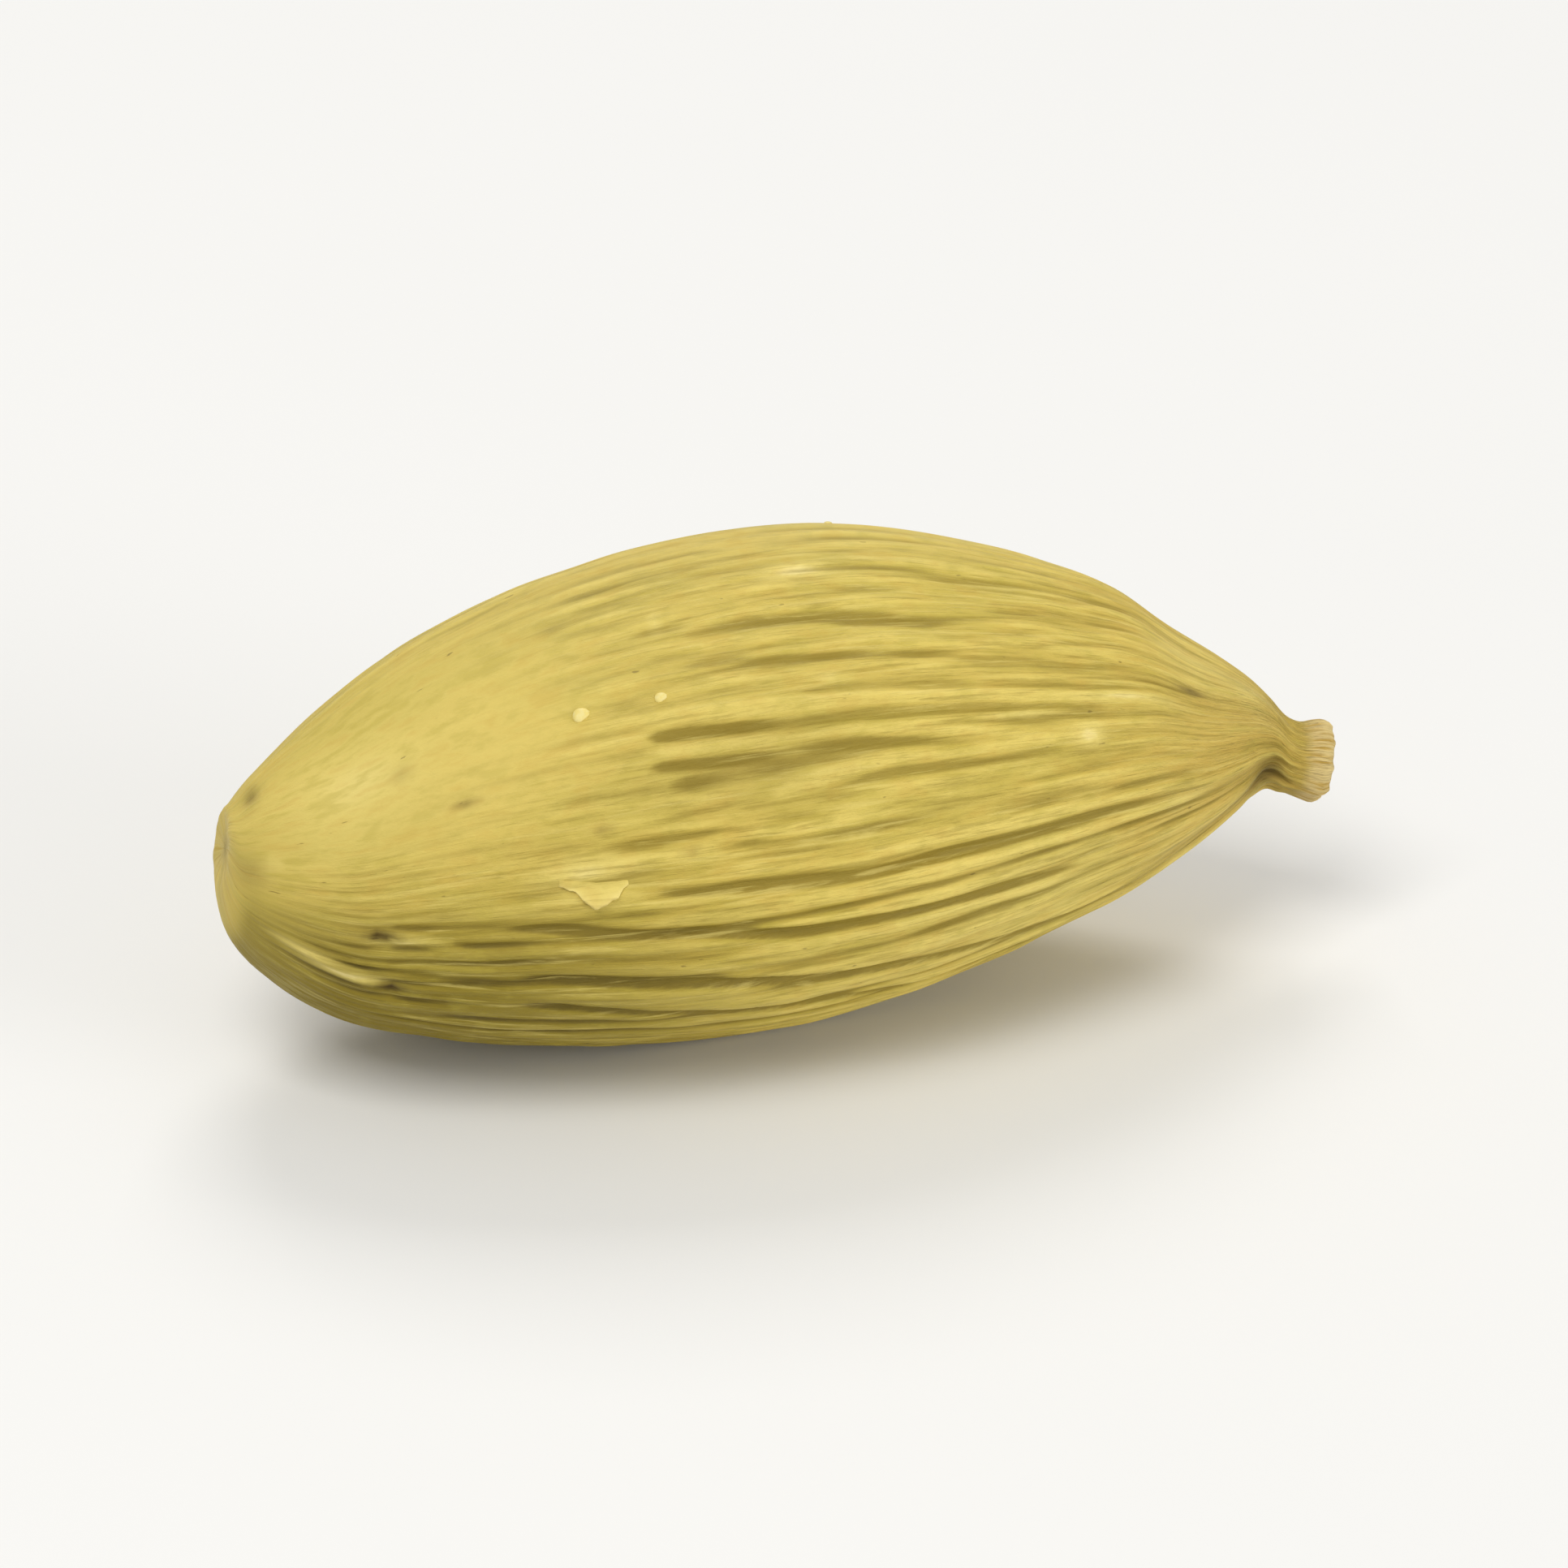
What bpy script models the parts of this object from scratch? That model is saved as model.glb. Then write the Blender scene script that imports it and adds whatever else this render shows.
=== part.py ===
"""A dried green cardamom pod lying on its side: one ribbed capsule with its stalk collar, grown as one piece.

Metres, +Z up. +X runs along the pod from its blunt end to its stalk collar, and the front faces -Y.
The origin is the middle of the pod's box, on the surface that the pod lies on.
"""

import math

import bmesh
import bpy
import numpy as np

MM = 0.001

# Main sizes. A direction round the pod is an angle that starts at the front, -Y, and turns up past the top.
LENGTH = 20.0 * MM
THICKNESS = 8.8 * MM
TALL_SIDE = math.radians(118)
PITCH = math.radians(-3.2)

# The three rounded corners of the capsule, and how far they stand out as a share of its radius
CORNER = math.radians(4)
CORNER_SWELL = 0.05
OVAL_SWELL = 0.015

# Where the pod lies: the side is pressed flatter there, and a flat spot is cut this deep
LYING_SIDE = math.radians(-103)
LYING_SPREAD = math.radians(34)
LYING_PRESS = 0.045
LYING_FADES_RIBS = 0.9
FLAT_DEPTH = 0.26 * MM

# Ribs
RIB_COUNT = 48
POINTS_PER_RIB = 4
RIB_WIDTHS = (0.7, 1.3)
RIB_WANDER = math.radians(2.2)
RIB_UNEVENNESS = 0.035 * MM
RIBS_FADE_BELOW = 2.6 * MM
GROOVE_DEPTH = 0.115 * MM
GROOVE_DEPTHS = (0.45, 1.0)
GROOVE_SHARPNESS = 1.2
GROOVES_BEGIN = (0.00, 0.20)
GROOVES_END = (0.84, 1.10)
GROOVE_RUN_OUT = 0.15
SHORT_GROOVES = 0.3
SHORT_BY = (0.1, 0.3)
SEED = 11

# Smoother patches, where the ribs fade: the angle of the middle and its share of the length, how far it
# spreads round the pod and along it, and how much it fades the ribs. They are the upper front near the blunt
# end, the top, and the whole upper front.
SMOOTH_PATCHES = (
    (math.radians(68), 0.10, math.radians(50), 0.22, 0.95),
    (math.radians(114), 0.58, math.radians(26), 0.45, 0.65),
    (math.radians(50), 0.50, math.radians(42), 0.60, 0.30),
)

# Folds at the neck, where the ribs run together into fewer and stronger ones
NECK_FOLDS = 13
NECK_FOLD_WIDTHS = (0.6, 1.4)
NECK_FOLD_DEPTH = 0.17 * MM
NECK_FOLD_DEPTHS = (0.5, 1.0)
NECK_FOLDS_SET_IN = (0.70, 0.90)
NECK_FOLDS_STOP = (0.940, 0.965)

# Slow dents of the whole wall
DENT_DEPTH = 0.07 * MM

# Random waves: how many are added up, the most lobes round the pod and the most runs along it
RIB_WAVES = (10, 19, 1.5)
WANDER_WAVES = (6, 5, 1.2)
DENT_WAVES = (6, 4, 1.6)

# Where the capsule's corners, dents and wandering ribs set in after the blunt end and stop before the neck,
# as shares of the length
BODY_SETS_IN = (0.0, 0.10)
BODY_STOPS = (0.86, 0.95)

# The outline from the middle of the blunt end's scar to the bottom of the stalk collar's pit. Each point has
# its place along the length and its half thickness, as shares of LENGTH and THICKNESS, then how far the
# middle rises towards the tall side, as a share of THICKNESS, and how much the section leans.
SCAR = (
    (0.012, 0.000, 0.005, 0.12),
    (0.008, 0.040, 0.003, 0.12),
    (0.000, 0.070, 0.000, 0.12),
)
BODY = (
    (0.008, 0.122, -0.036, 0.11),
    (0.021, 0.166, -0.046, 0.09),
    (0.040, 0.208, -0.051, 0.06),
    (0.062, 0.249, -0.052, 0.04),
    (0.090, 0.291, -0.048, 0.02),
    (0.150, 0.358, -0.026, 0.00),
    (0.245, 0.426, 0.003, 0.00),
    (0.345, 0.469, 0.024, 0.00),
    (0.450, 0.485, 0.043, 0.00),
    (0.550, 0.472, 0.060, 0.00),
    (0.650, 0.426, 0.072, 0.00),
    (0.735, 0.366, 0.080, 0.00),
    (0.800, 0.305, 0.082, 0.00),
    (0.850, 0.229, 0.072, 0.00),
    (0.896, 0.157, 0.069, 0.02),
    (0.920, 0.114, 0.067, 0.04),
    (0.936, 0.087, 0.055, 0.06),
)
COLLAR = (
    (0.948, 0.074, 0.031, 0.11),
    (0.961, 0.071, 0.018, 0.15),
    (0.972, 0.077, 0.014, 0.17),
    (0.981, 0.080, 0.010, 0.17),
    (0.988, 0.071, 0.008, 0.17),
    (0.982, 0.045, 0.006, 0.17),
    (0.973, 0.000, 0.006, 0.17),
)
RING_SPACING = 0.85 * MM

HUSK_COLOUR = (0.61, 0.47, 0.13, 1.0)
HUSK_ROUGHNESS = 0.6


def clear_scene():
    for obj in list(bpy.data.objects):
        bpy.data.objects.remove(obj, do_unlink=True)


def smooth_step(low, high, value):
    share = np.clip((value - low) / (high - low), 0.0, 1.0)
    return share * share * (3.0 - 2.0 * share)


def angle_between(first, second):
    """The angle from second to first, between minus half a turn and half a turn."""
    return (first - second + math.pi) % (2.0 * math.pi) - math.pi


def bump(distance, spread):
    return np.exp(-((distance / spread) ** 2))


def unevenness(angle, along, draw, waves):
    """A smooth random height of about -1 to 1 that closes on itself round the pod."""
    terms, most_lobes, most_runs = waves
    total = np.zeros(np.broadcast(angle, along).shape)
    for _ in range(terms):
        lobes = draw.integers(1, most_lobes + 1)
        runs = draw.uniform(-most_runs, most_runs)
        start = draw.uniform(0.0, 2.0 * math.pi)
        total += np.sin(lobes * angle + 2.0 * math.pi * runs * along + start)
    return total / math.sqrt(2.0 * terms)


def outline_rings():
    """Rows of place, half thickness, rise and lean, one for each ring from scar to pit, in metres."""
    knots = np.array(SCAR + BODY + COLLAR)
    steps = []
    for gap, apart in enumerate(np.diff(knots[:, 0]) * LENGTH):
        parts = max(1, round(apart / RING_SPACING))
        steps += [gap + part / parts for part in range(parts)]
    steps.append(len(knots) - 1)
    rows = curve_through(knots, np.array(steps))
    return rows * (LENGTH, THICKNESS, THICKNESS, 1.0)


def curve_through(knots, steps):
    """Points of a smooth curve through the knots. Steps count knots: 2.5 is half-way from knot 2 to 3."""
    apart = np.linalg.norm(np.diff(knots[:, :2] * (LENGTH, THICKNESS), axis=0), axis=1)
    reach = np.concatenate([[0.0], np.cumsum(apart)])
    slopes = np.gradient(knots, reach, axis=0)
    first = np.minimum(steps.astype(int), len(knots) - 2)
    share = (steps - first)[:, None]
    gap = apart[first][:, None]
    blend = share * share * (3.0 - 2.0 * share)
    leave = share * (1.0 - share) ** 2
    arrive = share * share * (share - 1.0)
    start, end = knots[first], knots[first + 1]
    return start + blend * (end - start) + gap * (leave * slopes[first] + arrive * slopes[first + 1])


def rib_columns(draw):
    """The angle of each column of points, and its place in its rib: 0 in the groove, a half on the crest."""
    widths = draw.uniform(*RIB_WIDTHS, RIB_COUNT)
    widths *= 2.0 * math.pi / widths.sum()
    edges = np.concatenate([[0.0], np.cumsum(widths)[:-1]])
    shares = np.arange(POINTS_PER_RIB) / POINTS_PER_RIB
    angles = edges[:, None] + widths[:, None] * shares
    return angles.ravel(), np.tile(shares, RIB_COUNT)


def groove_reach(along, draw):
    """How deep each groove is at each ring, from 0 to 1. A few are short, so that two ribs run into one."""
    begins = draw.uniform(*GROOVES_BEGIN, RIB_COUNT)
    ends = draw.uniform(*GROOVES_END, RIB_COUNT)
    short = draw.random(RIB_COUNT) < SHORT_GROOVES
    begins += short * draw.uniform(*SHORT_BY, RIB_COUNT)
    ends -= short * draw.uniform(*SHORT_BY, RIB_COUNT)
    depths = draw.uniform(*GROOVE_DEPTHS, RIB_COUNT)
    enter = smooth_step(begins, begins + GROOVE_RUN_OUT, along)
    leave = 1.0 - smooth_step(ends - GROOVE_RUN_OUT, ends, along)
    return depths * enter * leave


def ribs_left(angle, along):
    """How strong the ribs are, from 0 to 1. They fade in the smooth patches and where the pod lies."""
    left = 1.0 - LYING_FADES_RIBS * bump(angle_between(angle, LYING_SIDE), LYING_SPREAD)
    for side, place, spread, reach, fade in SMOOTH_PATCHES:
        left = left * (1.0 - fade * bump(angle_between(angle, side), spread) * bump(along - place, reach))
    return left


def rib_relief(angle, along, half, shares, draw):
    """How far the surface stands in from the smooth capsule because of its ribs and grooves."""
    reach = groove_reach(along, draw)
    after = np.repeat(reach, POINTS_PER_RIB, axis=1)
    before = np.repeat(np.roll(reach, -1, axis=1), POINTS_PER_RIB, axis=1)
    depth = np.where(shares < 0.5, after, before)
    groove = depth * (0.5 + 0.5 * np.cos(2.0 * math.pi * shares)) ** GROOVE_SHARPNESS
    uneven = unevenness(angle, along, draw, RIB_WAVES)
    strength = np.clip(half / RIBS_FADE_BELOW, 0.0, 1.0) * ribs_left(angle, along)
    return strength * (GROOVE_DEPTH * groove + RIB_UNEVENNESS * uneven)


def neck_folds(angle, along, draw):
    """How far the surface stands in because of the folds at the neck. The ridges between them stand out."""
    widths = draw.uniform(*NECK_FOLD_WIDTHS, NECK_FOLDS)
    widths *= 2.0 * math.pi / widths.sum()
    edges = np.concatenate([[0.0], np.cumsum(widths)])
    depths = draw.uniform(*NECK_FOLD_DEPTHS, NECK_FOLDS)
    turned = angle % (2.0 * math.pi)
    fold = np.clip(np.searchsorted(edges, turned, side="right") - 1, 0, NECK_FOLDS - 1)
    share = (turned - edges[fold]) / widths[fold]
    depth = np.where(share < 0.5, depths[fold], np.roll(depths, -1)[fold])
    valley = depth * (0.5 + 0.5 * np.cos(2.0 * math.pi * share)) - depths.mean() / 2.0
    setting_in = smooth_step(*NECK_FOLDS_SET_IN, along) * (1.0 - smooth_step(*NECK_FOLDS_STOP, along))
    return NECK_FOLD_DEPTH * setting_in * valley


def pod_points():
    """The surface as rings of points, from the scar to the pit of the stalk collar."""
    draw = np.random.default_rng(SEED)
    place, half, rise, lean = (column[:, None] for column in outline_rings().T)
    along = place / LENGTH
    base_angle, shares = rib_columns(draw)
    on_body = smooth_step(*BODY_SETS_IN, along) * (1.0 - smooth_step(*BODY_STOPS, along))
    angle = base_angle + on_body * RIB_WANDER * unevenness(base_angle, along, draw, WANDER_WAVES)

    corners = CORNER_SWELL * np.cos(3.0 * (angle - CORNER))
    oval = OVAL_SWELL * np.cos(2.0 * (angle - TALL_SIDE))
    press = LYING_PRESS * bump(angle_between(angle, LYING_SIDE), LYING_SPREAD)
    radius = half * (1.0 + on_body * (corners + oval - press))
    radius += on_body * DENT_DEPTH * unevenness(angle, along, draw, DENT_WAVES)
    radius -= rib_relief(angle, along, half, shares, draw)
    radius -= neck_folds(angle, along, draw)
    radius[[0, -1]] = 0.0

    middle = rise - CORNER_SWELL * on_body * half * math.cos(3.0 * (TALL_SIDE - CORNER))
    towards_tall = middle + radius * np.cos(angle - TALL_SIDE)
    x = place + lean * towards_tall
    y = -radius * np.cos(angle) - middle * math.cos(TALL_SIDE)
    z = radius * np.sin(angle) + middle * math.sin(TALL_SIDE)
    return laid_down(np.stack([x, y, z], axis=2))


def laid_down(points):
    """The points tipped to the pod's pitch, with the origin under the middle and the flat spot at z = 0."""
    x, y, z = np.moveaxis(points, 2, 0)
    tipped_x = x * math.cos(PITCH) - z * math.sin(PITCH)
    tipped_z = x * math.sin(PITCH) + z * math.cos(PITCH)
    tipped_x -= (tipped_x.min() + tipped_x.max()) / 2.0
    y = y - (y.min() + y.max()) / 2.0
    tipped_z = np.maximum(tipped_z - tipped_z.min() - FLAT_DEPTH, 0.0)
    return np.stack([tipped_x, y, tipped_z], axis=2)


def skin_over(points):
    """A closed mesh over the rings. The first and the last ring are single points."""
    rings, columns = points.shape[:2]
    bm = bmesh.new()
    first = bm.verts.new(points[0, 0])
    last = bm.verts.new(points[-1, 0])
    grid = [[bm.verts.new(point) for point in ring] for ring in points[1:-1]]
    for column in range(columns):
        beside = (column + 1) % columns
        bm.faces.new((first, grid[0][column], grid[0][beside]))
        bm.faces.new((last, grid[-1][beside], grid[-1][column]))
        for near, far in zip(grid[:-1], grid[1:]):
            bm.faces.new((near[column], far[column], far[beside], near[beside]))
    bmesh.ops.recalc_face_normals(bm, faces=bm.faces)
    mesh = bpy.data.meshes.new("pod")
    bm.to_mesh(mesh)
    bm.free()
    mesh.shade_smooth()
    return mesh


def husk_material():
    material = bpy.data.materials.new("husk")
    material.use_nodes = True
    shader = material.node_tree.nodes["Principled BSDF"]
    shader.inputs["Base Color"].default_value = HUSK_COLOUR
    shader.inputs["Roughness"].default_value = HUSK_ROUGHNESS
    return material


def build_pod():
    mesh = skin_over(pod_points())
    mesh.materials.append(husk_material())
    pod = bpy.data.objects.new("pod", mesh)
    bpy.context.scene.collection.objects.link(pod)


clear_scene()
build_pod()
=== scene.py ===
"""The looks of a dried green cardamom pod: its ribbed straw-green husk, its scar and its stalk collar.

Metres, +Z up. +X runs along the pod from its blunt end to its stalk collar, and the front faces -Y.
"""

import math

import bpy
import numpy as np
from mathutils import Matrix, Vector


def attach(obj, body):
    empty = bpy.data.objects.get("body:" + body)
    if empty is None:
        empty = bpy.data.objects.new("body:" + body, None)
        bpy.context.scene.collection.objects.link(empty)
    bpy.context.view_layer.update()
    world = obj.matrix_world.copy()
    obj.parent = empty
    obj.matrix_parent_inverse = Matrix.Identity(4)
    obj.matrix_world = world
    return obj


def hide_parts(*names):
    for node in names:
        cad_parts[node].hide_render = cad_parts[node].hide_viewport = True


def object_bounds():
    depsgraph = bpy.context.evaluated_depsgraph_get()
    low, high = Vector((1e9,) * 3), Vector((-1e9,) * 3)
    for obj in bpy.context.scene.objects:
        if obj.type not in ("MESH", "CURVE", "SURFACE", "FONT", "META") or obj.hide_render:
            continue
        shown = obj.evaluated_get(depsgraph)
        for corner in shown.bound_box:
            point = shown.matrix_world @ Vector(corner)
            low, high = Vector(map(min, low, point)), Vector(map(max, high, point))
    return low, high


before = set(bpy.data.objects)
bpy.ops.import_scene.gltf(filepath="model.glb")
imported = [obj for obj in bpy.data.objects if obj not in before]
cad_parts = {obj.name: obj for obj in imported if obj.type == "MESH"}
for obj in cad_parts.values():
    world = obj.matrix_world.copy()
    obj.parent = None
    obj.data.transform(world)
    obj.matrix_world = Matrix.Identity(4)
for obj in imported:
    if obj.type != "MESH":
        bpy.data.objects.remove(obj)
CAD_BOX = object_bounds()

MM = 0.001

# The pod's form, as the solid has it. A direction round the pod is an angle that starts at the front, -Y, and
# turns up past the top. A place along it is a share of its length, from the blunt end.
LENGTH = 20.0 * MM
THICKNESS = 8.8 * MM
TALL_SIDE = math.radians(118)
PITCH = math.radians(-3.2)
CORNER = math.radians(4)
CORNER_SWELL = 0.05
OVAL_SWELL = 0.015
LYING_SIDE = math.radians(-103)
LYING_SPREAD = math.radians(34)
LYING_PRESS = 0.045
LYING_FADES_RIBS = 0.9
FLAT_DEPTH = 0.26 * MM
RIB_COUNT = 48
RIB_WIDTHS = (0.7, 1.3)
RIB_WANDER = math.radians(2.2)
RIB_UNEVENNESS = 0.035 * MM
RIBS_FADE_BELOW = 2.6 * MM
GROOVE_DEPTH = 0.115 * MM
GROOVE_DEPTHS = (0.45, 1.0)
GROOVES_BEGIN = (0.00, 0.20)
GROOVES_END = (0.84, 1.10)
GROOVE_RUN_OUT = 0.15
SHORT_GROOVES = 0.3
SHORT_BY = (0.1, 0.3)
SEED = 11
NECK_FOLDS = 13
NECK_FOLD_WIDTHS = (0.6, 1.4)
NECK_FOLD_DEPTH = 0.17 * MM
NECK_FOLD_DEPTHS = (0.5, 1.0)
NECK_FOLDS_SET_IN = (0.70, 0.90)
NECK_FOLDS_STOP = (0.940, 0.965)
DENT_DEPTH = 0.07 * MM
BODY_SETS_IN = (0.0, 0.10)
BODY_STOPS = (0.86, 0.95)

# Sums of random waves: how many, the most lobes round the pod and the most runs along it
RIB_WAVES = (10, 19, 1.5)
WANDER_WAVES = (6, 5, 1.2)
DENT_WAVES = (6, 4, 1.6)

# Patches where the ribs fade: direction and place of the middle, spread round, reach along, share that fades
SMOOTH_PATCHES = (
    (math.radians(68), 0.10, math.radians(50), 0.22, 0.95),
    (math.radians(114), 0.58, math.radians(26), 0.45, 0.65),
    (math.radians(50), 0.50, math.radians(42), 0.60, 0.30),
)

# The outline from the middle of the scar to the bottom of the collar's pit: place along the length, half
# thickness, rise of the middle towards the tall side, and lean. The scar is shallower than the solid's.
SCAR = (
    (0.004, 0.000, -0.006, 0.12),
    (0.003, 0.040, -0.007, 0.12),
    (0.001, 0.076, -0.010, 0.12),
)
BODY = (
    (0.008, 0.122, -0.036, 0.11),
    (0.021, 0.166, -0.046, 0.09),
    (0.040, 0.208, -0.051, 0.06),
    (0.062, 0.249, -0.052, 0.04),
    (0.090, 0.291, -0.048, 0.02),
    (0.150, 0.358, -0.026, 0.00),
    (0.245, 0.426, 0.003, 0.00),
    (0.345, 0.469, 0.024, 0.00),
    (0.450, 0.485, 0.043, 0.00),
    (0.550, 0.472, 0.060, 0.00),
    (0.650, 0.426, 0.072, 0.00),
    (0.735, 0.366, 0.080, 0.00),
    (0.800, 0.305, 0.082, 0.00),
    (0.850, 0.229, 0.072, 0.00),
    (0.896, 0.157, 0.069, 0.02),
    (0.920, 0.114, 0.067, 0.04),
    (0.936, 0.087, 0.055, 0.06),
)
COLLAR = (
    (0.948, 0.074, 0.031, 0.11),
    (0.961, 0.071, 0.018, 0.15),
    (0.972, 0.077, 0.014, 0.17),
    (0.981, 0.080, 0.010, 0.17),
    (0.988, 0.071, 0.008, 0.17),
    (0.982, 0.045, 0.006, 0.17),
    (0.973, 0.000, 0.006, 0.17),
)

# The fine surface: points across each rib, and how far apart its rings stand on the body and at both ends
POINTS_PER_RIB = 12
RING_SPACING = 0.17 * MM
END_SPACING = 0.07 * MM
DETAIL_SEED = 29

# The grooves are soft and shallow on the pod's upper side, and narrow with a crease below. Each one fades in
# and out along its run. The folds at the neck are calmer above as well.
UPPER_SIDE = math.radians(62)
UPPER_SPREAD = math.radians(58)
UPPER_GROOVE_SHARPNESS = 0.8
LOWER_GROOVE_SHARPNESS = 1.6
UPPER_GROOVES_LEFT = 0.36
UPPER_FOLDS_LEFT = 0.25
CREASE_DEPTH = 0.03 * MM
CREASE_SHARPNESS = 7
FADE_SHARE = 0.65
LOWER_FADE = 0.15
FADE_LIMITS = (0.1, 1.8)
NECK_CALM = 0.65
NECK_CALMS_IN = (0.72, 0.88)

# More patches where the ribs fade, in the fine surface alone
CALM_PATCHES = (
    (math.radians(23), 0.68, math.radians(13), 0.12, 0.65),
    (math.radians(68), 0.30, math.radians(30), 0.10, 0.50),
    (math.radians(68), 0.75, math.radians(16), 0.11, 0.60),
)

# Random lattices: cells round the pod and along it. Fibres, threads and crumples have a height as well, and
# they fade where the husk is smooth and where the pod is thin.
LATTICE_GAIN = 1.5
FADE_CELLS = (52, 5)
FIBRE_HEIGHT = 0.016 * MM
FIBRE_CELLS = (120, 9)
THREAD_HEIGHT = 0.016 * MM
THREAD_CELLS = (210, 22)
CRUMPLE_HEIGHT = 0.010 * MM
CRUMPLE_CELLS = (46, 24)
FIBRES_FADE_BELOW = 3.0 * MM
SMOOTH_HUSK_FIBRES = 0.08
RIBBED_FROM = (0.15, 0.75)

# The scar, the collar and the collar's corky skin set in or stop over these steps of the outline. The last
# two count from the end of the body. Relief is weaker at both ends.
SCAR_STOPS = (1.6, 3.0)
COLLAR_SETS_IN = (-0.5, 1.0)
SKIN_SETS_IN = (0.8, 2.0)
SCAR_CALM = 0.8
COLLAR_CALM = 0.6

# The uneven collar and the torn rims: waves as above, with their fewest lobes after their number
COLLAR_UNEVENNESS = 0.05
COLLAR_WAVES = (8, 2, 9, 3.0)
SCAR_RAGS = 0.022 * MM
SCAR_RAG_WAVES = (10, 2, 16, 0.0)
COLLAR_RAGS = 0.035 * MM
COLLAR_RAG_WAVES = (10, 2, 18, 0.0)
RAGS_SET_IN = (0.15 * MM, 0.5 * MM)

# Creases, each from one place to another: share of the length and degrees round the pod, then depth and half
# width in millimetres. They thin out at both ends.
CREASES = (
    ((0.325, 47.3), (0.462, 45.4), 0.095, 0.13),
    ((0.325, 39.8), (0.455, 37.6), 0.080, 0.12),
    ((0.340, 34.0), (0.470, 33.5), 0.045, 0.26),
    ((0.460, 37.5), (0.620, 37.2), 0.040, 0.12),
    ((0.370, 18.9), (0.600, 17.1), 0.050, 0.12),
    ((0.395, 76.7), (0.690, 67.6), 0.040, 0.16),
    ((0.355, 64.2), (0.640, 59.3), 0.040, 0.14),
    ((0.296, 10.5), (0.564, 6.6), 0.080, 0.12),
    ((0.500, 7.0), (0.850, 10.1), 0.080, 0.13),
    ((0.200, 4.0), (0.520, -6.5), 0.100, 0.10),
    ((0.360, -3.5), (0.830, -7.1), 0.085, 0.10),
    ((0.200, -10.6), (0.520, -21.0), 0.110, 0.11),
    ((0.360, -16.0), (0.840, -32.0), 0.100, 0.11),
    ((0.215, -21.2), (0.500, -34.0), 0.110, 0.11),
    ((0.350, -28.0), (0.820, -47.0), 0.100, 0.11),
)
LINES_SET_IN = (0.0, 0.18)
LINES_RUN_OUT = (0.6, 1.0)

# Ridges, in the same way, with a height for the depth
RIDGES = (
    ((0.320, 52.0), (0.600, 49.2), 0.045, 0.13),
    ((0.400, 50.6), (0.860, 44.3), 0.080, 0.13),
    ((0.340, 43.5), (0.440, 42.0), 0.035, 0.10),
    ((0.420, 27.6), (0.560, 33.5), 0.050, 0.15),
    ((0.500, 41.5), (0.740, 33.0), 0.045, 0.13),
    ((0.415, 20.9), (0.560, 21.2), 0.040, 0.12),
    ((0.030, -9.0), (0.116, -17.6), 0.120, 0.14),
    ((0.104, 5.0), (0.190, -4.5), 0.070, 0.10),
    ((0.015, 14.0), (0.420, 9.0), 0.040, 0.26),
)

# A fan of fine ribs on the lower side by the blunt end: how many a whole turn, their height, the middle, and
# how far they reach along and round
FAN_RIBS = 84
FAN_HEIGHT = 0.026 * MM
FAN_MIDDLE = (0.115, math.radians(-9))
FAN_REACH = (0.075, math.radians(23))

# Pits: share of the length, degrees round, radius and depth in millimetres. A depth below zero makes a knob.
PITS = (
    (0.108, 2.6, 0.15, 0.14),
    (0.119, -18.4, 0.15, 0.10),
    (0.922, -17.7, 0.26, 0.15),
    (0.179, 40.7, 0.15, 0.02),
    (0.728, 33.0, 0.24, -0.07),
    (0.019, 89.0, 0.18, 0.05),
    (0.020, 18.0, 0.26, 0.05),
)

# Brown stains, painted shade in the pits and the hollow under the collar, and pale marks and painted
# highlights:
# share of the length, degrees round, reach along and round in millimetres, and strength
# Those on the pits, and the one at 0.922 in the hollow under the collar, are painted shade; the broad one at
# 0.430 darkens the middle of the upper face; the rest are brown stains
STAINS_AND_SHADE = (
    (0.107, 3.2, 0.22, 0.11, 1.00),
    (0.119, -18.6, 0.20, 0.11, 0.90),
    (0.180, 40.7, 0.24, 0.08, 0.45),
    (0.288, 26.4, 0.16, 0.08, 0.35),
    (0.360, 18.7, 0.16, 0.08, 0.30),
    (0.135, 57.7, 0.19, 0.19, 0.22),
    (0.280, 87.2, 0.18, 0.13, 0.25),
    (0.844, 55.2, 0.26, 0.08, 0.75),
    (0.922, -17.7, 0.42, 0.30, 1.00),
    (0.430, 36.0, 1.80, 0.80, 0.18),
    (0.019, 89.0, 0.12, 0.28, 0.55),
    (0.013, 24.0, 0.24, 0.30, 0.32),
)
# The thin marks along the pod at 0.055, 0.084, 0.125, 0.665 and 0.770 are painted highlights on ridges, and
# the broad one low on the front at 0.670 is a painted pool of light; the rest are pale patches of the husk
PALE_MARKS_AND_HIGHLIGHTS = (
    (0.360, 79.8, 0.09, 0.36, 1.00),
    (0.496, 88.9, 0.80, 0.26, 1.00),
    (0.496, 55.8, 0.13, 0.13, 1.00),
    (0.100, 62.0, 2.20, 1.70, 0.80),
    (0.030, 32.0, 0.25, 0.30, 0.69),
    (0.728, 33.0, 0.34, 0.24, 1.00),
    (0.272, 16.6, 0.95, 0.34, 0.85),
    (0.084, -14.8, 0.62, 0.11, 1.00),
    (0.125, 1.0, 0.50, 0.09, 0.90),
    (0.860, 78.0, 1.30, 0.80, 0.69),
    (0.905, 72.0, 0.60, 0.55, 0.69),
    (0.770, 45.6, 1.10, 0.11, 0.90),
    (0.665, 40.8, 0.75, 0.10, 0.80),
    (0.055, -11.6, 0.50, 0.12, 0.80),
    (0.670, -10.0, 3.20, 1.70, 0.45),
    (0.815, 3.0, 0.70, 0.18, 0.70),
)

# The groove measure below paints shade into the grooves and creases, and a highlight on the crests.
# What counts as a groove: against how many columns on each side, the depth from crest to groove, how much
# less it shows on the upper side, and the depth of a single line and the share that it adds
CAVITY_REACH = 9
CAVITY_DEPTH = 0.11 * MM
UPPER_SOFTNESS = 0.52
LINE_DEPTH = 0.15 * MM
LINE_SHARE = 0.5
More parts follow.
